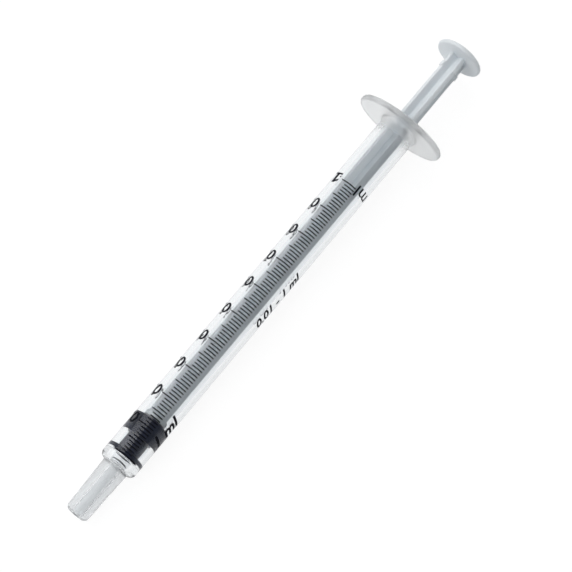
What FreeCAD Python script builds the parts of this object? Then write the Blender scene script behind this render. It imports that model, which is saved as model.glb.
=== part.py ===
# Slip tip syringe of 1 ml: a clear barrel with its printed scale, a rubber stopper and a plunger rod.
# Millimetres. The axis is X: the mouth of the nozzle is the origin, and the thumb rest is at the +X end.
# The scale faces +Z and the flange is long across Y, so the syringe lies on the flange's shallow side.
# The plunger is all the way in, with the front of the stopper at the zero line.
import FreeCAD
import Part
import os
import Sketcher
from FreeCAD import Placement, Rotation, Vector

# Driving dimensions, one cell each
DIMENSIONS = {
    # Nozzle: the male 6 % cone that a needle hub or a cap slips on to
    "nozzle_length": 9.8,
    "cone_end_dia": 3.96,
    "cone_taper": 0.06,
    "outlet_dia": 1.55,
    "nozzle_edge_bevel": 0.55,
    # Barrel
    "barrel_dia": 6.6,
    "bore_dia": 4.7,
    "end_wall": 1.7,
    "recess_dia": 3.4,
    "recess_depth": 0.9,
    "shoulder_round": 0.9,
    "barrel_length": 74.4,
    # Finger flange at the barrel's back end
    "flange_long": 16.4,
    "flange_short": 10.6,
    "flange_thick": 1.1,
    "flange_edge_bevel": 0.3,
    "flange_root_round": 0.6,
    # Ridge inside the mouth, which keeps the stopper in
    "ridge_height": 0.2,
    "ridge_crest": 0.2,
    "ridge_slope": 0.25,
    "ridge_to_mouth": 0.4,
    "mouth_chamfer": 0.25,
    # Stopper: a nose, a narrow front seal, a waist and a wide rear seal
    "stopper_gap": 0.15,
    "stopper_length": 7.5,
    "seal_clearance": 0.02,
    "nose_dia": 3.9,
    "front_seal_start": 0.25,
    "front_seal_width": 0.7,
    "rear_seal_start": 3.8,
    "rear_seal_width": 3.45,
    "seal_slope": 0.15,
    "waist_dia": 3.9,
    "tail_dia": 4.1,
    # Snap socket inside the stopper, entered from behind
    "socket_neck_dia": 2.0,
    "socket_neck_length": 1.9,
    "socket_head_dia": 2.8,
    "socket_head_length": 2.5,
    "socket_nose_dia": 1.6,
    "socket_nose_length": 0.7,
    "snap_clearance": 0.05,
    # Plunger rod
    "push_disc_dia": 4.1,
    "push_disc_thick": 0.8,
    "rod_dia": 3.7,
    "rib_thick": 0.9,
    "rib_root_round": 0.25,
    "rib_stop_dia": 4.1,
    "rib_stop_thick": 0.9,
    "rib_stop_to_thumb": 2.2,
    "rod_reach": 15.4,
    "thumb_dia": 8.6,
    "thumb_thick": 0.8,
    "thumb_rim_round": 0.8,
    "rod_turn": 36.0,
    # Printed scale: its lines are measured in degrees round the barrel, from the top
    "capacity": 1000.0,
    "divisions": 100,
    "medium_lines": 20,
    "long_lines": 10,
    "line_width": 0.2,
    "zero_line_width": 0.28,
    "ink_gap": 0.005,
    "ink_thick": 0.03,
    "scale_lower_angle": 22.0,
    "zero_lower_angle": 45.0,
    "short_upper_angle": 12.0,
    "medium_upper_angle": 22.5,
    "long_upper_angle": 29.0,
}

doc = FreeCAD.newDocument("syringe")
sheet = doc.addObject("Spreadsheet::Sheet", "dims")
for row, (alias, value) in enumerate(DIMENSIONS.items(), start=1):
    sheet.set(f"A{row}", alias)
    sheet.set(f"B{row}", str(value))
    sheet.setAlias(f"B{row}", alias)
doc.recompute()

# Places and radii that the pieces share, worked out from the cells
NOZZLE_END_R = "(dims.cone_end_dia / 2)"
NOZZLE_BASE_R = "(dims.cone_end_dia / 2 + dims.cone_taper / 2 * dims.nozzle_length)"
OUTLET_R = "(dims.outlet_dia / 2)"
RECESS_R = "(dims.recess_dia / 2)"
BARREL_R = "(dims.barrel_dia / 2)"
BORE_R = "(dims.bore_dia / 2)"
BARREL_FRONT = "dims.nozzle_length"
BARREL_END = "(dims.nozzle_length + dims.barrel_length)"
BORE_BOTTOM = "(dims.nozzle_length + dims.end_wall)"
RECESS_FLOOR = f"({BORE_BOTTOM} - dims.recess_depth)"
FLANGE_FRONT = f"({BARREL_END} - dims.flange_thick)"
RIDGE_R = f"({BORE_R} - dims.ridge_height)"
RIDGE_END = f"({BARREL_END} - dims.mouth_chamfer - dims.ridge_to_mouth)"
CREST_END = f"({RIDGE_END} - dims.ridge_slope)"
CREST_START = f"({CREST_END} - dims.ridge_crest)"
RIDGE_START = f"({CREST_START} - dims.ridge_slope)"
STOPPER_FRONT = f"({BORE_BOTTOM} + dims.stopper_gap)"
STOPPER_BACK = f"({STOPPER_FRONT} + dims.stopper_length)"
SEAL_R = f"({BORE_R} - dims.seal_clearance)"
SOCKET_NECK_FRONT = f"({STOPPER_BACK} - dims.socket_neck_length)"
SOCKET_HEAD_FRONT = f"({SOCKET_NECK_FRONT} - dims.socket_head_length)"
SOCKET_NOSE_FRONT = f"({SOCKET_HEAD_FRONT} - dims.socket_nose_length)"
DISC_FRONT = f"({STOPPER_BACK} + dims.snap_clearance)"
DISC_BACK = f"({DISC_FRONT} + dims.push_disc_thick)"
THUMB_FRONT = f"({BARREL_END} + dims.rod_reach)"
RIB_STOP_FRONT = f"({THUMB_FRONT} - dims.rib_stop_to_thumb - dims.rib_stop_thick)"
ZERO_LINE = STOPPER_FRONT
SCALE_LENGTH = f"(dims.capacity / (pi * {BORE_R} ^ 2))"


def number(expression):
    """The present value of an expression, to draw a sketch near its solved place."""
    return float(sheet.evalExpression(expression))


def new_body(label):
    body = doc.addObject("PartDesign::Body", label)
    body.Label = label
    return body


def origin_plane(body, role):
    return next(feature for feature in body.Origin.OriginFeatures if feature.Role == role)


def new_sketch(body, name, role, offset=None):
    """A sketch on one of the body's origin planes, moved along its normal by an expression."""
    sketch = body.newObject("Sketcher::SketchObject", name)
    sketch.AttachmentSupport = (origin_plane(body, role), [""])
    sketch.MapMode = "FlatFace"
    if offset:
        sketch.setExpression("AttachmentOffset.Base.z", offset)
    return sketch


def bind(sketch, constraint, name, expression):
    """Adds a sized constraint under a name and ties its size to an expression."""
    index = sketch.addConstraint(constraint)
    sketch.renameConstraint(index, name)
    sketch.setExpression(f"Constraints.{name}", expression)


def place_point(sketch, edge, end, across, up, label):
    """Ties an end of an edge to its two coordinates, which are expressions."""
    for axis, kind, expression in ((-2, "DistanceX", across), (-1, "DistanceY", up)):
        if expression == "0":
            sketch.addConstraint(Sketcher.Constraint("PointOnObject", edge, end, axis))
            continue
        constraint = Sketcher.Constraint(kind, -1, 1, edge, end, number(expression))
        bind(sketch, constraint, f"{label}_{kind[-1].lower()}", expression)


def half_section(body, name, corners):
    """A closed half section beside the X axis. Each corner is its place along X and its radius."""
    sketch = new_sketch(body, name, "XZ_Plane")
    points = [Vector(number(along), number(radius), 0) for along, radius in corners]
    count = len(points)
    for index in range(count):
        sketch.addGeometry(Part.LineSegment(points[index], points[(index + 1) % count]), False)
    for index in range(count):
        sketch.addConstraint(Sketcher.Constraint("Coincident", index, 2, (index + 1) % count, 1))
    for index, (along, radius) in enumerate(corners):
        place_point(sketch, index, 1, along, radius, f"corner{index}")
    return sketch


def turned(body, kind, name, sketch):
    """A half section turned once round the axis: a Revolution adds it and a Groove cuts it away."""
    feature = body.newObject(f"PartDesign::{kind}", name)
    feature.Profile = sketch
    feature.ReferenceAxis = (sketch, ["H_Axis"])
    feature.Angle = 360
    doc.recompute()
    return feature


def padded(body, name, sketch, length):
    pad = body.newObject("PartDesign::Pad", name)
    pad.Profile = sketch
    pad.setExpression("Length", length)
    doc.recompute()
    return pad


def edge_names(shape, wanted):
    """The names of the edges whose centre, length and curve pass a test."""
    return [f"Edge{index}" for index, edge in enumerate(shape.Edges, start=1) if wanted(edge)]


def near(first, second):
    return abs(first - second) < 1e-4


def ring_at(along, radius):
    """A test for the full circle round the axis at a place along X."""
    x = number(along)
    r = number(radius)

    def wanted(edge):
        return (
            edge.Curve.TypeId == "Part::GeomCircle"
            and near(edge.Curve.Radius, r)
            and near(edge.Curve.Center.x, x)
            and near(edge.BoundBox.XLength, 0)
        )

    return wanted


def eased(body, kind, name, wanted, size):
    """A Fillet or a Chamfer on every edge of the body so far that passes a test."""
    base = body.Tip
    names = edge_names(base.Shape, wanted)
    if not names:
        raise ValueError(f"{name} finds no edge")
    feature = body.newObject(f"PartDesign::{kind}", name)
    feature.Base = (base, names)
    feature.setExpression("Radius" if kind == "Fillet" else "Size", size)
    doc.recompute()
    return feature


# Barrel: nozzle, tube and finger flange in one clear moulding, with a small recess at the bore's end
def make_barrel():
    body = new_body("barrel")
    tube = half_section(body, "tube_section", [
        ("0", "0"),
        ("0", NOZZLE_END_R),
        (BARREL_FRONT, NOZZLE_BASE_R),
        (BARREL_FRONT, BARREL_R),
        (BARREL_END, BARREL_R),
        (BARREL_END, "0"),
    ])
    turned(body, "Revolution", "tube", tube)
    flange = oval(body, "flange_outline", FLANGE_FRONT, "dims.flange_long", "dims.flange_short")
    padded(body, "flange", flange, "dims.flange_thick")
    bore = half_section(body, "bore_section", [
        ("0", "0"),
        ("0", OUTLET_R),
        (RECESS_FLOOR, OUTLET_R),
        (RECESS_FLOOR, RECESS_R),
        (BORE_BOTTOM, RECESS_R),
        (BORE_BOTTOM, BORE_R),
        (RIDGE_START, BORE_R),
        (CREST_START, RIDGE_R),
        (CREST_END, RIDGE_R),
        (RIDGE_END, BORE_R),
        (f"({BARREL_END} - dims.mouth_chamfer)", BORE_R),
        (BARREL_END, f"({BORE_R} + dims.mouth_chamfer)"),
        (BARREL_END, "0"),
    ])
    turned(body, "Groove", "bore", bore)
    eased(body, "Fillet", "shoulder", ring_at(BARREL_FRONT, BARREL_R), "dims.shoulder_round")
    eased(body, "Fillet", "flange_root", ring_at(FLANGE_FRONT, BARREL_R), "dims.flange_root_round")
    eased(body, "Chamfer", "nozzle_edge", ring_at("0", NOZZLE_END_R), "dims.nozzle_edge_bevel")
    eased(body, "Chamfer", "flange_edge", is_oval, "dims.flange_edge_bevel")
    return body


def oval(body, name, front, long_side, short_side):
    """An ellipse round the axis, long across Y."""
    sketch = new_sketch(body, name, "YZ_Plane", front)
    half_long = number(long_side) / 2
    half_short = number(short_side) / 2
    sketch.addGeometry(Part.Ellipse(Vector(0, 0, 0), half_long, half_short), False)
    sketch.exposeInternalGeometry(0)
    sketch.addConstraint(Sketcher.Constraint("Coincident", 0, 3, -1, 1))
    # The exposed geometry is the long diameter, then the short one
    sketch.addConstraint(Sketcher.Constraint("Horizontal", 1))
    for line, side, label in ((1, long_side, "long_side"), (2, short_side, "short_side")):
        bind(sketch, Sketcher.Constraint("Distance", line, number(side)), label, side)
    return sketch


def is_oval(edge):
    return edge.Curve.TypeId == "Part::GeomEllipse"


# Stopper: two seals round a waist, and the socket that the rod's head snaps into
def make_stopper():
    body = new_body("stopper")
    front_seal = f"({STOPPER_FRONT} + dims.front_seal_start)"
    front_seal_end = f"({front_seal} + dims.front_seal_width)"
    rear_seal = f"({STOPPER_FRONT} + dims.rear_seal_start)"
    rear_seal_end = f"({rear_seal} + dims.rear_seal_width)"
    waist_r = "(dims.waist_dia / 2)"
    seals = half_section(body, "seals_section", [
        (STOPPER_FRONT, "0"),
        (STOPPER_FRONT, "(dims.nose_dia / 2)"),
        (front_seal, SEAL_R),
        (front_seal_end, SEAL_R),
        (f"({front_seal_end} + dims.seal_slope)", waist_r),
        (f"({rear_seal} - dims.seal_slope)", waist_r),
        (rear_seal, SEAL_R),
        (rear_seal_end, SEAL_R),
        (STOPPER_BACK, "(dims.tail_dia / 2)"),
        (STOPPER_BACK, "0"),
    ])
    turned(body, "Revolution", "seals", seals)
    socket = half_section(body, "socket_section", [
        (SOCKET_NOSE_FRONT, "0"),
        (SOCKET_NOSE_FRONT, "(dims.socket_nose_dia / 2)"),
        (SOCKET_HEAD_FRONT, "(dims.socket_head_dia / 2)"),
        (SOCKET_NECK_FRONT, "(dims.socket_head_dia / 2)"),
        (SOCKET_NECK_FRONT, "(dims.socket_neck_dia / 2)"),
        (STOPPER_BACK, "(dims.socket_neck_dia / 2)"),
        (STOPPER_BACK, "0"),
    ])
    turned(body, "Groove", "socket", socket)
    return body


# Plunger rod: head, neck and push disc, then a cross of ribs with a raised stop on each, and the thumb rest
def make_rod():
    body = new_body("plunger_rod")
    clearance = "dims.snap_clearance"
    head = half_section(body, "head_section", [
        (f"({SOCKET_NOSE_FRONT} + {clearance})", "0"),
        (f"({SOCKET_NOSE_FRONT} + {clearance})", f"(dims.socket_nose_dia / 2 - {clearance})"),
        (f"({SOCKET_HEAD_FRONT} + {clearance})", f"(dims.socket_head_dia / 2 - {clearance})"),
        (f"({SOCKET_NECK_FRONT} - {clearance})", f"(dims.socket_head_dia / 2 - {clearance})"),
        (f"({SOCKET_NECK_FRONT} - {clearance})", f"(dims.socket_neck_dia / 2 - {clearance})"),
        (DISC_FRONT, f"(dims.socket_neck_dia / 2 - {clearance})"),
        (DISC_FRONT, "(dims.push_disc_dia / 2)"),
        (DISC_BACK, "(dims.push_disc_dia / 2)"),
        (DISC_BACK, "0"),
    ])
    turned(body, "Revolution", "head", head)
    ribs = rib_cross(body, "rib_cross", DISC_BACK, "dims.rod_dia")
    padded(body, "ribs", ribs, f"({THUMB_FRONT} - {DISC_BACK})")
    eased(body, "Fillet", "rib_roots", is_rib_root, "dims.rib_root_round")
    stops = rib_cross(body, "rib_stop_cross", RIB_STOP_FRONT, "dims.rib_stop_dia")
    padded(body, "rib_stops", stops, "dims.rib_stop_thick")
    turned(body, "Revolution", "thumb_rest", thumb_section(body))
    # The rod is free to turn, and lies with a rib a little below the top
    body.Placement = Placement(Vector(0, 0, 0), Rotation(Vector(1, 0, 0), number("dims.rod_turn")))
    body.setExpression("Placement.Rotation.Angle", "dims.rod_turn")
    return body


def thumb_section(body):
    """Half of a flat disc with a crowned rim: the rim is an arc whose middle is at the disc's radius."""
    sketch = new_sketch(body, "thumb_section", "XZ_Plane")
    front = number(THUMB_FRONT)
    back = number(f"{THUMB_FRONT} + dims.thumb_thick")
    radius = number("dims.thumb_dia / 2")
    rim_round = number("dims.thumb_rim_round")
    half = (back - front) / 2
    rim = radius - rim_round + (rim_round ** 2 - half ** 2) ** 0.5
    sketch.addGeometry([
        Part.LineSegment(Vector(front, 0, 0), Vector(front, rim, 0)),
        Part.Arc(Vector(front, rim, 0), Vector(front + half, radius, 0), Vector(back, rim, 0)),
        Part.LineSegment(Vector(back, rim, 0), Vector(back, 0, 0)),
        Part.LineSegment(Vector(back, 0, 0), Vector(front, 0, 0)),
    ], False)
    # The arc was drawn clockwise, so it starts at the back of the disc
    for first, first_end, second, second_end in ((0, 2, 1, 2), (1, 1, 2, 1), (2, 2, 3, 1), (3, 2, 0, 1)):
        sketch.addConstraint(Sketcher.Constraint("Coincident", first, first_end, second, second_end))
    sketch.addConstraint(Sketcher.Constraint("Vertical", 0))
    sketch.addConstraint(Sketcher.Constraint("Vertical", 2))
    place_point(sketch, 0, 1, THUMB_FRONT, "0", "front")
    place_point(sketch, 2, 2, f"({THUMB_FRONT} + dims.thumb_thick)", "0", "back")
    middle = f"({THUMB_FRONT} + dims.thumb_thick / 2)"
    place_point(sketch, 1, 3, middle, "(dims.thumb_dia / 2 - dims.thumb_rim_round)", "rim_centre")
    bind(sketch, Sketcher.Constraint("Radius", 1, rim_round), "rim_round", "dims.thumb_rim_round")
    return sketch


def rib_cross(body, name, start, diameter):
    """The outline of four ribs, each ended by an arc of one circle."""
    sketch = new_sketch(body, name, "YZ_Plane", start)
    radius = number(diameter) / 2
    half = number("dims.rib_thick") / 2
    reach = (radius ** 2 - half ** 2) ** 0.5
    outward = Vector(reach, half, 0)
    quarter = Rotation(Vector(0, 0, 1), 90)
    turn = Rotation()
    pieces = []
    for _ in range(4):
        start = turn.multVec(Vector(reach, -half, 0))
        middle = turn.multVec(Vector(radius, 0, 0))
        end = turn.multVec(outward)
        corner = turn.multVec(Vector(half, half, 0))
        turn = quarter.multiply(turn)
        following = turn.multVec(Vector(reach, -half, 0))
        pieces += [Part.Arc(start, middle, end), Part.LineSegment(end, corner)]
        pieces += [Part.LineSegment(corner, following)]
    sketch.addGeometry(pieces, False)
    count = len(pieces)
    for index in range(count):
        sketch.addConstraint(Sketcher.Constraint("Coincident", index, 2, (index + 1) % count, 1))
    for rib in range(4):
        sketch.addConstraint(Sketcher.Constraint("Coincident", 3 * rib, 3, -1, 1))
        flank = "Horizontal" if rib % 2 == 0 else "Vertical"
        crossing = "Vertical" if rib % 2 == 0 else "Horizontal"
        sketch.addConstraint(Sketcher.Constraint(flank, 3 * rib + 1))
        sketch.addConstraint(Sketcher.Constraint(crossing, 3 * rib + 2))
    for rib in range(1, 4):
        sketch.addConstraint(Sketcher.Constraint("Equal", 0, 3 * rib))
    bind(sketch, Sketcher.Constraint("Radius", 0, radius), "reach", f"{diameter} / 2")
    corners = ((2, 1, 1), (5, -1, 1), (8, -1, -1), (11, 1, -1))
    for line, across, up in corners:
        for kind, sign in (("DistanceX", across), ("DistanceY", up)):
            ends = (-1, 1, line, 1) if sign > 0 else (line, 1, -1, 1)
            label = f"corner{line}_{kind[-1].lower()}"
            bind(sketch, Sketcher.Constraint(kind, *ends, half), label, "dims.rib_thick / 2")
    return sketch


def is_rib_root(edge):
    """The four long edges where two ribs meet."""
    half = number("dims.rib_thick / 2")
    middle = edge.BoundBox.Center
    lengthwise = edge.BoundBox.XLength > number("dims.rod_dia")
    return lengthwise and near(abs(middle.y), half) and near(abs(middle.z), half)


# Printed scale: thin arcs of ink on the barrel, one line for each division
def make_scale():
    body = new_body("scale_print")
    line_set(body, "short_lines", "dims.line_width", "dims.short_upper_angle",
             "dims.scale_lower_angle", "dims.divisions")
    line_set(body, "medium_lines", "dims.line_width", "dims.medium_upper_angle",
             "dims.scale_lower_angle", "dims.medium_lines")
    line_set(body, "long_lines", "dims.line_width", "dims.long_upper_angle",
             "dims.scale_lower_angle", "dims.long_lines")
    ink_line(body, "zero_line", "dims.zero_line_width", "dims.long_upper_angle", "dims.zero_lower_angle")
    return body


def ink_line(body, name, width, upper_angle, lower_angle):
    """A line of ink at zero, from an angle on the +Y side of the top to one on the -Y side."""
    inner = f"({BARREL_R} + dims.ink_gap)"
    outer = f"({inner} + dims.ink_thick)"
    start = f"({ZERO_LINE} - {width} / 2)"
    end = f"({ZERO_LINE} + {width} / 2)"
    section = half_section(body, f"{name}_section", [
        (start, inner),
        (start, outer),
        (end, outer),
        (end, inner),
    ])
    line = body.newObject("PartDesign::Revolution", name)
    line.Profile = section
    line.ReferenceAxis = (section, ["H_Axis"])
    line.Type = "TwoAngles"
    line.setExpression("Angle", lower_angle)
    line.setExpression("Angle2", upper_angle)
    doc.recompute()
    return line, section


def line_set(body, name, width, upper_angle, lower_angle, spaces):
    line, section = ink_line(body, f"{name}_first", width, upper_angle, lower_angle)
    pattern = body.newObject("PartDesign::LinearPattern", name)
    pattern.Originals = [line]
    pattern.Direction = (section, ["H_Axis"])
    pattern.setExpression("Length", SCALE_LENGTH)
    pattern.setExpression("Occurrences", f"{spaces} + 1")
    body.Tip = pattern
    doc.recompute()
    return pattern


parts = [make_barrel(), make_stopper(), make_rod(), make_scale()]
doc.recompute()

# Every feature and every piece is tested before anything is written
for item in doc.Objects:
    if "Invalid" in item.State or "Error" in item.State:
        raise RuntimeError(f"{item.Label} did not build: {item.State}")
for part in parts:
    if part.Shape.isNull() or not part.Shape.isValid():
        raise RuntimeError(f"{part.Label} has no valid shape")

os.makedirs("parts", exist_ok=True)
for part in parts:
    part.Shape.exportStep(f"parts/{part.Label}.step")
    box = part.Shape.BoundBox
    print(f"{part.Label}: {len(part.Shape.Solids)} solids, {part.Shape.Volume:.2f} mm3,",
          f"x {box.XMin:.2f} to {box.XMax:.2f}, y {box.YMin:.2f} to {box.YMax:.2f},",
          f"z {box.ZMin:.2f} to {box.ZMax:.2f}")
stroke = number(f"{RIDGE_START} - {STOPPER_BACK}")
print(f"zero line at x {number(ZERO_LINE):.3f}, scale {number(SCALE_LENGTH):.3f} long")
print(f"stroke to the ridge {stroke:.3f}")
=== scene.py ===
import math

import bmesh
import bpy
from mathutils import Matrix, Vector


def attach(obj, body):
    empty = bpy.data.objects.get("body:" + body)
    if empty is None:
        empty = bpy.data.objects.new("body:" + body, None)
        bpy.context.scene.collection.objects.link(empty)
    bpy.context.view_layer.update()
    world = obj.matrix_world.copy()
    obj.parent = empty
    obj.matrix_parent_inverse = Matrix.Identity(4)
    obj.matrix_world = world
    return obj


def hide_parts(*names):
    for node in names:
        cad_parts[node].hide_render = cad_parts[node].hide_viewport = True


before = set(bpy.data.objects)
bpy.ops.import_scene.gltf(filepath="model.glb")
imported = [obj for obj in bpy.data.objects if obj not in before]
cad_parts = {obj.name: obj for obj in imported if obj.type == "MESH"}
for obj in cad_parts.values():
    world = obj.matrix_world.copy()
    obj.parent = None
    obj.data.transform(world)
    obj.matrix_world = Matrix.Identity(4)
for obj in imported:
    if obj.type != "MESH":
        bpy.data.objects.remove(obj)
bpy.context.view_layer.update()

MM = 0.001
AROUND = 128
ROD_AROUND = 96

# Sizes in millimetres, along X from the mouth of the nozzle
OUTLET_R = 0.775
NOZZLE_END_R = 1.98
NOZZLE_ROOT_R = 2.274
BARREL_FRONT = 9.8
BARREL_R = 3.3
BORE_R = 2.35
RECESS_FLOOR = 10.6
RECESS_R = 1.7
BORE_BOTTOM = 11.5
FLANGE_FRONT = 83.1
FLANGE_BACK = 84.2
FLANGE_HALF_LONG = 8.2
FLANGE_HALF_SHORT = 5.3
FLANGE_ROOT_DEPTH = 0.7
FLANGE_RIM_DEPTH = 0.46
MOUTH_CHAMFER = 0.25
RIDGE_R = 2.15
RIDGE_START, CREST_START, CREST_END, RIDGE_END = 82.85, 83.1, 83.3, 83.55

STOPPER_FRONT = 11.65
STOPPER_BACK = 19.15
SEAL_OVERLAP = 0.02
WAIST_R = 1.95
SOCKET_MOUTH_R = 1.0
SOCKET_R = 1.4
SOCKET_LIP = 17.25

HEAD_FRONT = 14.1
HEAD_BACK = 17.2
HEAD_R = 1.35
NECK_R = 0.95
DISC_FRONT = 19.2
DISC_BACK = 20.0
DISC_R = 2.05
JOIN_OVERLAP = 0.3
ROD_TURN = math.radians(36)
ROD_R = 1.85
RIB_START = 19.9
RIB_PARTS = 24
RIB_HALF = 0.45
RIB_STOP_FRONT = 96.5
RIB_STOP_BACK = 97.4
RIB_STOP_R = 2.05
THUMB_FRONT = 99.6
THUMB_BACK = 100.4
THUMB_R = 4.3
THUMB_ROUND = 0.34

ZERO_LINE = 11.65
DIVISION = 0.57639
DIVISIONS = 100
INK_INNER = 3.294
INK_OUTER = 3.325
ZERO_WIDTH = 0.28
LINE_WIDTH = 0.2
# How far the lines reach round the barrel from its top, in degrees
TENTH_REACH, FIFTH_REACH, LINE_REACH = 29, 22.5, 12
ZERO_LOWER_REACH, LOWER_REACH = 45, 22

SHARP_EDGE = math.radians(35)
SHARP_INK = math.radians(30)


# Mesh helpers
DEGREES_PER_STEP = 12
LONGEST_SUPPORT, LEAST_SUPPORT = 0.06, 0.004


def arc_corner(before, corner, after, radius):
    """The points of a rounded corner, with one more outside each end to keep the flats flat."""
    here = Vector(corner)
    back = Vector(before) - here
    ahead = Vector(after) - here
    room = min(back.length, ahead.length)
    back.normalize()
    ahead.normalize()
    half = math.acos(max(-1.0, min(1.0, back.dot(ahead)))) / 2
    reach = radius / math.tan(half)
    centre = here + (back + ahead).normalized() * (radius / math.sin(half))
    turn = math.pi - 2 * half
    steps = max(2, math.ceil(math.degrees(turn) / DEGREES_PER_STEP))
    first = here + back * reach
    start = first - centre
    last = here + ahead * reach
    end = last - centre
    sign = 1.0 if start.x * end.y - start.y * end.x > 0 else -1.0
    support = min(0.3 * radius, max(0.0, (room - reach) * 0.3), LONGEST_SUPPORT)
    points = [first + back * support] if support > LEAST_SUPPORT else []
    for step in range(steps + 1):
        angle = sign * turn * step / steps
        c, s = math.cos(angle), math.sin(angle)
        points.append(centre + Vector((start.x * c - start.y * s, start.x * s + start.y * c)))
    if support > LEAST_SUPPORT:
        points.append(last + ahead * support)
    return points


def rounded_path(corners, closed):
    """A line of points through corners given as (x, y, radius)."""
    count = len(corners)
    points = []
    for index, (x, y, radius) in enumerate(corners):
        at_end = not closed and index in (0, count - 1)
        if radius == 0 or at_end:
            points.append(Vector((x, y)))
            continue
        before = corners[index - 1][:2]
        after = corners[(index + 1) % count][:2]
        points += arc_corner(before, (x, y), after, radius)
    return points


def divided(points, closed, longest):
    """The same line with its long runs divided evenly."""
    result = []
    count = len(points)
    for index in range(count):
        here = points[index]
        result.append(here)
        if index == count - 1 and not closed:
            break
        ahead = points[(index + 1) % count]
        parts = math.ceil((ahead - here).length / longest - 1e-6)
        for part in range(1, parts):
            result.append(here.lerp(ahead, part / parts))
    return result


def lathe(mesh, rings, closed, around=AROUND):
    """Turns rings given as (x, half width in Y, half width in Z).
    A ring of no width is one point."""
    rows = []
    for x, across, up in rings:
        if across < 1e-6:
            rows.append([mesh.verts.new((x, 0, 0))])
            continue
        row = []
        for step in range(around):
            angle = 2 * math.pi * step / around
            row.append(mesh.verts.new((x, across * math.sin(angle), up * math.cos(angle))))
        rows.append(row)
    pairs = len(rows) if closed else len(rows) - 1
    for index in range(pairs):
        first, second = rows[index], rows[(index + 1) % len(rows)]
        for step in range(around):
            following = (step + 1) % around
            if len(first) == 1:
                mesh.faces.new((first[0], second[step], second[following]))
            elif len(second) == 1:
                mesh.faces.new((first[step], second[0], first[following]))
            else:
                mesh.faces.new((first[step], second[step], second[following], first[following]))


def round_rings(points):
    return [(point.x, point.y, point.y) for point in points]


def linked(name, data):
    """A new object for a mesh, text, camera or lamp, put into the scene."""
    piece = bpy.data.objects.new(name, data)
    bpy.context.collection.objects.link(piece)
    return piece


def unfinished(name, mesh):
    """A piece in millimetres that is still to be joined with others."""
    bmesh.ops.recalc_face_normals(mesh, faces=mesh.faces)
    data = bpy.data.meshes.new(name)
    mesh.to_mesh(data)
    mesh.free()
    return linked(name, data)


def finished(name, mesh, material, body, replaced=None, sharp=None):
    """Scales a mesh from millimetres to metres, faces it outward and hangs it on its body."""
    bmesh.ops.remove_doubles(mesh, verts=mesh.verts, dist=1e-5)
    bmesh.ops.recalc_face_normals(mesh, faces=mesh.faces)
    if mesh.calc_volume(signed=True) < 0:
        bmesh.ops.reverse_faces(mesh, faces=mesh.faces)
    bmesh.ops.scale(mesh, vec=(MM, MM, MM), verts=mesh.verts)
    data = bpy.data.meshes.new(name)
    for face in mesh.faces:
        face.smooth = True
    if sharp:
        for edge in mesh.edges:
            if len(edge.link_faces) == 2 and edge.calc_face_angle(0) > sharp:
                edge.smooth = False
    mesh.to_mesh(data)
    mesh.free()
    data.materials.append(material)
    piece = linked(name, data)
    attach(piece, body)
    if replaced:
        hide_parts(replaced)
    return piece


# Node helpers
# Nearly all of a noise's values lie in this span
NOISE_SPAN = (0.3, 0.7)


def new_material(name):
    material = bpy.data.materials.new(name)
    material.use_nodes = True
    tree = material.node_tree
    tree.nodes.clear()
    return material, tree


def add(tree, kind, **settings):
    node = tree.nodes.new(kind)
    for name, value in settings.items():
        setattr(node, name, value)
    return node


def noise(tree, place, scale, detail=3.0, rough=0.55):
    node = add(tree, "ShaderNodeTexNoise")
    node.inputs["Scale"].default_value = scale
    node.inputs["Detail"].default_value = detail
    node.inputs["Roughness"].default_value = rough
    tree.links.new(place, node.inputs["Vector"])
    return node.outputs["Fac"]


def ranged(tree, value, low, high, to_low, to_high):
    """Maps a value from low to high onto another range, with soft ends."""
    node = add(tree, "ShaderNodeMapRange", interpolation_type="SMOOTHSTEP")
    numbers = {"From Min": low, "From Max": high, "To Min": to_low, "To Max": to_high}
    for name, number in numbers.items():
        node.inputs[name].default_value = number
    tree.links.new(value, node.inputs["Value"])
    return node.outputs["Result"]


def sum_of(tree, first, second, operation="ADD"):
    """Adds two values, or joins them as named. The second may be a plain number."""
    node = add(tree, "ShaderNodeMath", operation=operation)
    tree.links.new(first, node.inputs[0])
    if isinstance(second, float):
        node.inputs[1].default_value = second
    else:
        tree.links.new(second, node.inputs[1])
    return node.outputs[0]


def mixed(tree, factor, first, second):
    """Mixes two colours, each given as three numbers or as the output of another node."""
    node = add(tree, "ShaderNodeMix", data_type="RGBA")
    sockets = [socket for socket in node.inputs if socket.type == "RGBA"]
    for socket, colour in zip(sockets, (first, second)):
        if isinstance(colour, tuple):
            socket.default_value = (*colour, 1)
        else:
            tree.links.new(colour, socket)
    tree.links.new(factor, node.inputs["Factor"])
    return next(socket for socket in node.outputs if socket.type == "RGBA")


def bump(tree, height, distance, strength):
    node = add(tree, "ShaderNodeBump")
    node.inputs["Strength"].default_value = strength
    node.inputs["Distance"].default_value = distance
    tree.links.new(height, node.inputs["Height"])
    return node.outputs["Normal"]


def plastic(name, ior):
    material, tree = new_material(name)
    shader = add(tree, "ShaderNodeBsdfPrincipled")
    output = add(tree, "ShaderNodeOutputMaterial")
    tree.links.new(shader.outputs["BSDF"], output.inputs["Surface"])
    shader.inputs["IOR"].default_value = ior
    place = add(tree, "ShaderNodeTexCoord").outputs["Object"]
    return material, tree, shader, place


# Clear barrel: polished on the tube, finely matt on the nozzle and the flange, where a paler tint
# is painted light that brightens it.
# The fades from one to the other lie at these places along X, in metres.
NOZZLE_FADE = (0.0094, 0.0106)
FLANGE_FADE = (0.0785, 0.0828)


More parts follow.
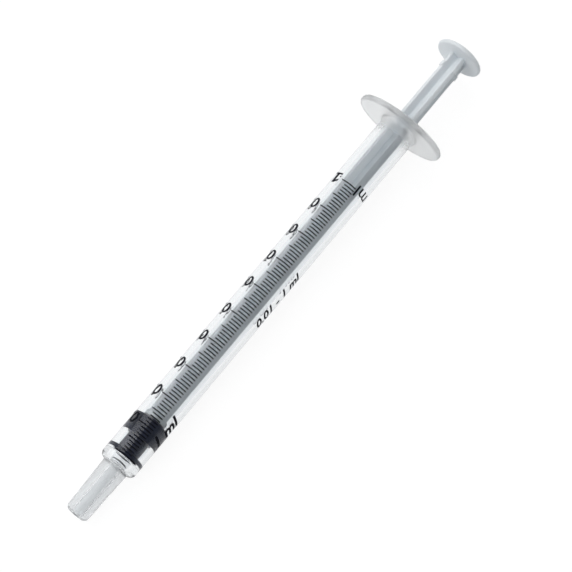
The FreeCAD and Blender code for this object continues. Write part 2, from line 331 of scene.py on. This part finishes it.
def barrel_material():
    material, tree, shader, place = plastic("barrel_plastic", 1.49)
    along = add(tree, "ShaderNodeSeparateXYZ")
    tree.links.new(place, along.inputs[0])
    x = along.outputs["X"]
    nozzle = ranged(tree, x, *NOZZLE_FADE, 1, 0)
    flange = ranged(tree, x, *FLANGE_FADE, 0, 1)
    mottle = noise(tree, place, 420, 4)
    flow = noise(tree, place, 90, 2)
    colour = mixed(tree, flow, (0.93, 0.952, 0.966), (0.955, 0.97, 0.982))
    # Paler tint on the flange: painted light, standing in for the brightness of light passing
    # through it
    flange_painted_light_tint = mixed(tree, flow, (0.972, 0.988, 0.997), (0.985, 0.996, 1.0))
    tree.links.new(mixed(tree, flange, colour, flange_painted_light_tint), shader.inputs["Base Color"])

    def zoned(on_tube, on_nozzle, flange_adds):
        return sum_of(tree, ranged(tree, nozzle, 0, 1, on_tube, on_nozzle),
                      ranged(tree, flange, 0, 1, 0, flange_adds))

    tree.links.new(zoned(1.0, 0.78, -0.05), shader.inputs["Transmission Weight"])
    matt = zoned(0.02, 0.24, 0.28)
    varied = sum_of(tree, matt, ranged(tree, mottle, *NOISE_SPAN, 0.0, 0.03))
    tree.links.new(varied, shader.inputs["Roughness"])
    return material


def ink_material():
    material, tree, shader, place = plastic("scale_ink", 1.5)
    patch = noise(tree, place, 1800, 3)
    colour = mixed(tree, patch, (0.004, 0.005, 0.009), (0.009, 0.010, 0.016))
    tree.links.new(colour, shader.inputs["Base Color"])
    tree.links.new(ranged(tree, patch, *NOISE_SPAN, 0.55, 0.7), shader.inputs["Roughness"])
    shader.inputs["Specular IOR Level"].default_value = 0.06
    return material


def rubber_material():
    material, tree, shader, place = plastic("stopper_rubber", 1.52)
    patch = noise(tree, place, 500, 4)
    colour = mixed(tree, patch, (0.004, 0.009, 0.030), (0.008, 0.015, 0.045))
    tree.links.new(colour, shader.inputs["Base Color"])
    tree.links.new(ranged(tree, patch, *NOISE_SPAN, 0.3, 0.46), shader.inputs["Roughness"])
    shader.inputs["Specular IOR Level"].default_value = 0.25
    grain = bump(tree, noise(tree, place, 3200, 3), 0.000008, 0.15)
    tree.links.new(grain, shader.inputs["Normal"])
    return material


def rod_material():
    material, tree, shader, place = plastic("rod_plastic", 1.49)
    cloud = noise(tree, place, 160, 4)
    colour = mixed(tree, cloud, (0.79, 0.83, 0.86), (0.84, 0.875, 0.90))
    tree.links.new(colour, shader.inputs["Base Color"])
    tree.links.new(ranged(tree, cloud, *NOISE_SPAN, 0.36, 0.46), shader.inputs["Roughness"])
    shader.inputs["Transmission Weight"].default_value = 0.12
    shader.inputs["Subsurface Weight"].default_value = 0.6
    shader.inputs["Subsurface Radius"].default_value = (1, 1, 1)
    shader.inputs["Subsurface Scale"].default_value = 0.001
    grain = bump(tree, noise(tree, place, 2400, 3), 0.000006, 0.5)
    tree.links.new(grain, shader.inputs["Normal"])
    return material


# Barrel: one closed line runs round the nozzle, tube and flange, in at the mouth and down the bore
def make_barrel(material):
    corners = [
        (0, OUTLET_R, 0.15),
        (0, NOZZLE_END_R, 0.8),
        (BARREL_FRONT, NOZZLE_ROOT_R, 0.1),
        (BARREL_FRONT, BARREL_R, 0.9),
        (FLANGE_FRONT, BARREL_R, 0.6),
        (FLANGE_FRONT, FLANGE_HALF_LONG, 0.4),
        (FLANGE_BACK, FLANGE_HALF_LONG, 0.4),
        (FLANGE_BACK, BORE_R + MOUTH_CHAMFER, 0.1),
        (FLANGE_BACK - MOUTH_CHAMFER, BORE_R, 0.08),
        (RIDGE_END, BORE_R, 0.08),
        (CREST_END, RIDGE_R, 0.08),
        (CREST_START, RIDGE_R, 0.08),
        (RIDGE_START, BORE_R, 0.08),
        (BORE_BOTTOM, BORE_R, 0.12),
        (BORE_BOTTOM, RECESS_R, 0.08),
        (RECESS_FLOOR, RECESS_R, 0.1),
        (RECESS_FLOOR, OUTLET_R, 0.1),
    ]
    outline = divided(rounded_path(corners, True), True, 4.0)
    # Past the tube the same line is squeezed towards the oval's short side
    circle = BARREL_R + FLANGE_ROOT_DEPTH
    rim = FLANGE_HALF_LONG - FLANGE_RIM_DEPTH
    rings = []
    for point in outline:
        up = point.y
        if up >= rim:
            # The rim's own rounding keeps its size on both sides
            up = up - FLANGE_HALF_LONG + FLANGE_HALF_SHORT
        elif up > circle:
            span = FLANGE_HALF_SHORT - FLANGE_RIM_DEPTH - circle
            up = circle + (up - circle) * span / (rim - circle)
        rings.append((point.x, point.y, up))
    mesh = bmesh.new()
    lathe(mesh, rings, True)
    return finished("barrel_moulding", mesh, material, "barrel", "barrel")


# Stopper: its two seals bear on the bore, so they reach a hair into the wall
def make_stopper(material):
    seal = BORE_R + SEAL_OVERLAP
    corners = [
        (STOPPER_FRONT, 0, 0),
        (STOPPER_FRONT, WAIST_R, 0.2),
        (11.9, seal, 0.12),
        (12.6, seal, 0.12),
        (12.75, WAIST_R, 0.1),
        (15.3, WAIST_R, 0.1),
        (15.45, seal, 0.12),
        (18.9, seal, 0.12),
        (STOPPER_BACK, 2.05, 0.1),
        (STOPPER_BACK, SOCKET_MOUTH_R, 0.08),
        (SOCKET_LIP, SOCKET_MOUTH_R, 0.08),
        (SOCKET_LIP, SOCKET_R, 0.1),
        (14.75, SOCKET_R, 0.1),
        (14.05, 0.8, 0.1),
        (14.05, 0, 0),
    ]
    outline = divided(rounded_path(corners, False), False, 1.2)
    mesh = bmesh.new()
    lathe(mesh, round_rings(outline), False)
    return finished("stopper_moulding", mesh, material, "stopper", "stopper")


# Plunger rod: turned pieces joined with a cross of four ribs
def turned_object(name, corners):
    mesh = bmesh.new()
    lathe(mesh, round_rings(rounded_path(corners, False)), False, ROD_AROUND)
    return unfinished(name, mesh)


def rib_outline(reach, half):
    """A cross of four ribs, each as wide as two halves and rounded at its end."""
    shoulder = math.sqrt(reach ** 2 - half ** 2)
    corners = []
    for quarter in range(4):
        turn = Matrix.Rotation(ROD_TURN + quarter * math.pi / 2, 2)
        for across, up, radius in (
            (shoulder, -half, 0.12),
            (reach, 0, 0.8),
            (shoulder, half, 0.12),
            (half, half, 0.25),
        ):
            place = turn @ Vector((across, up))
            corners.append((place.x, place.y, radius))
    return rounded_path(corners, True)


def rib_object(name, outline, start, end, parts):
    mesh = bmesh.new()
    count = len(outline)
    rows = []
    for part in range(parts + 1):
        x = start + (end - start) * part / parts
        rows.append([mesh.verts.new((x, point.x, point.y)) for point in outline])
    for first, second in zip(rows, rows[1:]):
        for index in range(count):
            following = (index + 1) % count
            mesh.faces.new((first[index], second[index], second[following], first[following]))
    mesh.faces.new(rows[0])
    mesh.faces.new(rows[-1])
    return unfinished(name, mesh)


def make_rod(material):
    rib_end = THUMB_FRONT + JOIN_OVERLAP
    ribs = rib_object("ribs", rib_outline(ROD_R, RIB_HALF), RIB_START, rib_end, RIB_PARTS)
    # A hair narrower than the ribs, so that only its ends show
    stop_outline = rib_outline(RIB_STOP_R, RIB_HALF - 0.01)
    stops = rib_object("rib_stops", stop_outline, RIB_STOP_FRONT, RIB_STOP_BACK, 1)
    head = turned_object("head", [
        (HEAD_FRONT, 0, 0),
        (HEAD_FRONT, 0.75, 0.1),
        (14.8, HEAD_R, 0.1),
        (HEAD_BACK, HEAD_R, 0.08),
        (HEAD_BACK, NECK_R, 0.08),
        (DISC_FRONT, NECK_R, 0.08),
        (DISC_FRONT, DISC_R, 0.12),
        (DISC_BACK, DISC_R, 0.12),
        (DISC_BACK, 0, 0),
    ])
    thumb = turned_object("thumb", [
        (THUMB_FRONT, 0, 0),
        (THUMB_FRONT, THUMB_R, THUMB_ROUND),
        (THUMB_BACK, THUMB_R, THUMB_ROUND),
        (THUMB_BACK, 0, 0),
    ])
    for other in (head, stops, thumb):
        union = ribs.modifiers.new("join", "BOOLEAN")
        union.operation = "UNION"
        union.solver = "EXACT"
        union.object = other
    graph = bpy.context.evaluated_depsgraph_get()
    joined = bpy.data.meshes.new_from_object(ribs.evaluated_get(graph))
    mesh = bmesh.new()
    mesh.from_mesh(joined)
    for piece in (ribs, head, stops, thumb):
        data = piece.data
        bpy.data.objects.remove(piece)
        bpy.data.meshes.remove(data)
    bpy.data.meshes.remove(joined)
    return finished("plunger_rod_moulding", mesh, material, "rod", "plunger_rod",
                    sharp=SHARP_EDGE)


# Printed lines: arcs of ink, from an angle on the +Y side of the top to one on the -Y side
def ink_arc(mesh, x, width, upper, lower):
    step = 360 / AROUND
    first = -math.radians(upper)
    parts = math.ceil((upper + lower) / step)
    sweep = math.radians(upper + lower)
    rows = []
    for part in range(parts + 1):
        angle = first + sweep * part / parts
        row = []
        for along, radius in (
            (x - width / 2, INK_INNER),
            (x + width / 2, INK_INNER),
            (x + width / 2, INK_OUTER),
            (x - width / 2, INK_OUTER),
        ):
            row.append(mesh.verts.new((along, -radius * math.sin(angle), radius * math.cos(angle))))
        rows.append(row)
    for one, two in zip(rows, rows[1:]):
        for index in range(4):
            following = (index + 1) % 4
            mesh.faces.new((one[index], one[following], two[following], two[index]))
    mesh.faces.new(rows[0])
    mesh.faces.new(rows[-1])


def make_scale(material):
    mesh = bmesh.new()
    ink_arc(mesh, ZERO_LINE, ZERO_WIDTH, TENTH_REACH, ZERO_LOWER_REACH)
    for line in range(1, DIVISIONS + 1):
        upper = TENTH_REACH if line % 10 == 0 else FIFTH_REACH if line % 5 == 0 else LINE_REACH
        ink_arc(mesh, ZERO_LINE + line * DIVISION, LINE_WIDTH, upper, LOWER_REACH)
    return finished("scale_lines", mesh, material, "barrel", "scale_print",
                    sharp=SHARP_EDGE)


# Printed numbers: a flat text is cut into narrow strips and wrapped on the barrel
STRIP_DEGREES = 3
NUMBER_ANGLE = 38
NUMBER_HEIGHT = 2.05
UNIT_ANGLE = -75
SIDE_ANGLE = -80
SIDE_SLANT = 0.25


def flat_text(body, bold, slant=0.0, spacing=1.0):
    curve = bpy.data.curves.new("text", "FONT")
    curve.body = body
    curve.size = 1.0
    curve.offset = bold
    curve.shear = slant
    curve.space_character = spacing
    curve.extrude = 0.5
    curve.resolution_u = 6
    writing = linked("text", curve)
    graph = bpy.context.evaluated_depsgraph_get()
    data = bpy.data.meshes.new_from_object(writing.evaluated_get(graph))
    mesh = bmesh.new()
    mesh.from_mesh(data)
    bpy.data.objects.remove(writing)
    bpy.data.curves.remove(curve)
    bpy.data.meshes.remove(data)
    return mesh


def flat_one():
    """A figure one with a flag and a foot."""
    outline = [(0.0, 0.0), (0.68, 0.0), (0.68, 0.15), (0.46, 0.15), (0.46, 1.0), (0.24, 1.0),
               (0.0, 0.76), (0.0, 0.57), (0.24, 0.74), (0.24, 0.15), (0.0, 0.15)]
    mesh = bmesh.new()
    below = [mesh.verts.new((x, y, -0.5)) for x, y in outline]
    above = [mesh.verts.new((x, y, 0.5)) for x, y in outline]
    mesh.faces.new(below)
    mesh.faces.new(above)
    for index in range(len(outline)):
        following = (index + 1) % len(outline)
        mesh.faces.new((below[index], below[following], above[following], above[index]))
    mesh.normal_update()
    bmesh.ops.triangulate(mesh, faces=mesh.faces)
    return mesh


def wrapped(name, mesh, material, x, angle, height, widen, upright):
    """Upright text reads round the barrel with its top towards the nozzle. Other text reads along
    it. The angle is where its first edge, or its baseline, lies, from the top towards +Y."""
    low = Vector([min(vert.co[axis] for vert in mesh.verts) for axis in range(2)])
    high = Vector([max(vert.co[axis] for vert in mesh.verts) for axis in range(2)])
    grow = height / (high.y - low.y)
    for vert in mesh.verts:
        across = (vert.co.x - low.x) * grow * widen
        up = (vert.co.y - low.y) * grow
        vert.co = Vector((across, up, vert.co.z))
    length = (high.x - low.x) * grow * widen if upright else height
    pitch = math.radians(STRIP_DEGREES) * BARREL_R
    normal = Vector((1, 0, 0)) if upright else Vector((0, 1, 0))
    for cut in range(1, math.ceil(length / pitch)):
        everything = mesh.verts[:] + mesh.edges[:] + mesh.faces[:]
        bmesh.ops.bisect_plane(mesh, geom=everything, plane_co=normal * (cut * pitch),
                               plane_no=normal, dist=1e-6)
    for vert in mesh.verts:
        across, up, depth = vert.co
        radius = INK_INNER + (INK_OUTER - INK_INNER) * (depth + 0.5)
        turn = math.radians(angle) + (across if upright else up) / BARREL_R
        along = x - up if upright else x + across
        vert.co = Vector((along, radius * math.sin(turn), radius * math.cos(turn)))
    bmesh.ops.triangulate(mesh, faces=mesh.faces)
    return finished(name, mesh, material, "barrel", sharp=SHARP_INK)


def make_numbers(material):
    for tenth in range(1, 10):
        x = ZERO_LINE + tenth * 10 * DIVISION + 1.1
        number = flat_text(f"0.{tenth}", 0.016, spacing=1.1)
        wrapped(f"number_0_{tenth}", number, material, x, NUMBER_ANGLE, NUMBER_HEIGHT, 1.24, True)
    end = ZERO_LINE + DIVISIONS * DIVISION
    capacity = flat_text("1 ml", 0.03, SIDE_SLANT)
    span = flat_text("0.01 - 1 ml", 0.025, SIDE_SLANT)
    for name, mesh, x, angle, height, widen, upright in (
        ("number_1", flat_one(), end + 1.0, NUMBER_ANGLE, NUMBER_HEIGHT, 1.3, True),
        ("unit", flat_text("ml", 0.005), end + 1.05, UNIT_ANGLE, 2.1, 1.1, True),
        ("capacity", capacity, 16.2, SIDE_ANGLE, 2.3, 1.0, False),
        ("range", span, 41.4, SIDE_ANGLE, 1.7, 1.1, False),
    ):
        wrapped(name, mesh, material, x, angle, height, widen, upright)


barrel_plastic = barrel_material()
scale_ink = ink_material()
make_barrel(barrel_plastic)
make_stopper(rubber_material())
make_rod(rod_material())
make_scale(scale_ink)
make_numbers(scale_ink)


# Floor: the syringe lies on its shoulder and on the flange's short side
SHOULDER_REST = 11.15
FLANGE_REST = 83.65
FLOOR_HALF = 2.0
FLOOR_BELOW = 0.00002
# How bright its white is, and how much of it is seen straight and through the plastic
FLOOR_WHITE = 1.08
STRAIGHT_SHARE, THROUGH_SHARE = 0.85, 0.66


def make_floor():
    front = Vector((SHOULDER_REST * MM, 0, -BARREL_R * MM))
    back = Vector((FLANGE_REST * MM, 0, -FLANGE_HALF_SHORT * MM))
    along = (back - front).normalized() * FLOOR_HALF
    across = Vector((0, FLOOR_HALF, 0))
    centre = (front + back) / 2 - Vector((0, 0, FLOOR_BELOW))
    sides = ((-1, -1), (1, -1), (1, 1), (-1, 1))
    corners = [centre + along * u + across * v for u, v in sides]
    data = bpy.data.meshes.new("floor")
    data.from_pydata(corners, [], [(0, 1, 2, 3)])
    material, tree = new_material("floor")
    output = add(tree, "ShaderNodeOutputMaterial")
    diffuse = add(tree, "ShaderNodeBsdfDiffuse")
    diffuse.inputs["Color"].default_value = (0.92, 0.92, 0.92, 1)
    white = add(tree, "ShaderNodeEmission")
    white.inputs["Color"].default_value = (1, 1, 1, 1)
    white.inputs["Strength"].default_value = FLOOR_WHITE
    mix = add(tree, "ShaderNodeMixShader")
    rays = add(tree, "ShaderNodeLightPath").outputs
    bent = sum_of(tree, rays["Is Glossy Ray"], rays["Is Transmission Ray"], "MAXIMUM")
    through = sum_of(tree, bent, THROUGH_SHARE, "MULTIPLY")
    straight = sum_of(tree, rays["Is Camera Ray"], STRAIGHT_SHARE, "MULTIPLY")
    tree.links.new(sum_of(tree, through, straight, "MAXIMUM"), mix.inputs[0])
    tree.links.new(diffuse.outputs[0], mix.inputs[1])
    tree.links.new(white.outputs[0], mix.inputs[2])
    tree.links.new(mix.outputs[0], output.inputs["Surface"])
    data.materials.append(material)
    floor = linked("floor", data)


make_floor()


# Camera: above the syringe, its nozzle at the lower left
CAMERA_X = Vector((0.62018939, -0.74081947, 0.25797602))
CAMERA_Z = Vector((0.07917471, -0.26806808, -0.96014107))
CAMERA_Y = CAMERA_Z.cross(CAMERA_X)
# The scale's middle line, on the axis, and where the camera sees it, in millimetres
MIDDLE_X = 40.47
MIDDLE_SEEN = Vector((-7.712, 5.648, 321.9))
FOCAL_PIXELS = 2000
PICTURE_PIXELS = 572
SENSOR_MM = 36


def make_camera():
    # The rows turn the part's axes into the view's right, down and forward
    turn = Matrix((CAMERA_X, CAMERA_Y, CAMERA_Z)).transposed()
    place = turn.transposed() @ -(MIDDLE_SEEN - CAMERA_X * MIDDLE_X)
    right, down, forward = turn[0], turn[1], turn[2]
    data = bpy.data.cameras.new("camera")
    data.sensor_width = SENSOR_MM
    data.lens = FOCAL_PIXELS * SENSOR_MM / PICTURE_PIXELS
    data.clip_start = 0.01
    data.clip_end = 20
    camera = linked("camera", data)
    matrix = Matrix((right, -down, -forward)).transposed().to_4x4()
    matrix.translation = place * MM
    camera.matrix_world = matrix
    bpy.context.scene.camera = camera
    return Vector(right), Vector(-down), Vector(-forward)


# Light: one broad lamp beside the camera, and a world that is darker above and at the nozzle
LAMP_AIM = Vector((0.045, 0, 0))
# The direction square to the syringe in the picture, and the lamp's shares of it and of the view's
ASIDE_UP, ASIDE_RIGHT = 0.6434, -0.7655
LAMP_ASIDE, LAMP_TOWARDS = 0.64, 0.77


def make_lamp(name, direction, distance, width, length, power):
    """A rectangular lamp whose long side lies along the syringe."""
    data = bpy.data.lights.new(name, "AREA")
    data.shape = "RECTANGLE"
    data.size = width
    data.size_y = length
    data.energy = power
    lamp = linked(name, data)
    facing = direction.normalized()
    across = Vector((1, 0, 0)).cross(facing).normalized()
    along = facing.cross(across)
    matrix = Matrix((across, along, facing)).transposed().to_4x4()
    matrix.translation = LAMP_AIM + facing * distance
    lamp.matrix_world = matrix


def make_world():
    world = bpy.data.worlds.new("studio")
    world.use_nodes = True
    tree = world.node_tree
    tree.nodes.clear()
    output = add(tree, "ShaderNodeOutputWorld")
    background = add(tree, "ShaderNodeBackground")
    place = add(tree, "ShaderNodeTexCoord").outputs["Generated"]
    split = add(tree, "ShaderNodeSeparateXYZ")
    tree.links.new(place, split.inputs[0])
    by_height = ranged(tree, split.outputs["Z"], 0.1, 0.6, 0.85, 0.24)
    by_end = ranged(tree, split.outputs["X"], -0.9, 0.1, 0.35, 1.0)
    level = sum_of(tree, by_height, by_end, "MULTIPLY")
    camera_ray = add(tree, "ShaderNodeLightPath").outputs["Is Camera Ray"]
    tree.links.new(sum_of(tree, level, camera_ray, "MAXIMUM"), background.inputs["Strength"])
    background.inputs["Color"].default_value = (0.95, 0.975, 1.0, 1)
    tree.links.new(background.outputs[0], output.inputs["Surface"])
    bpy.context.scene.world = world


right, up, towards = make_camera()
aside = up * ASIDE_UP + right * ASIDE_RIGHT
make_lamp("key", towards * LAMP_TOWARDS + aside * LAMP_ASIDE,
          distance=0.5, width=0.6, length=1.4, power=3.9)
make_world()

scene = bpy.context.scene
scene.view_settings.view_transform = "Standard"
scene.cycles.max_bounces = 24
scene.cycles.transmission_bounces = 24
scene.cycles.glossy_bounces = 12
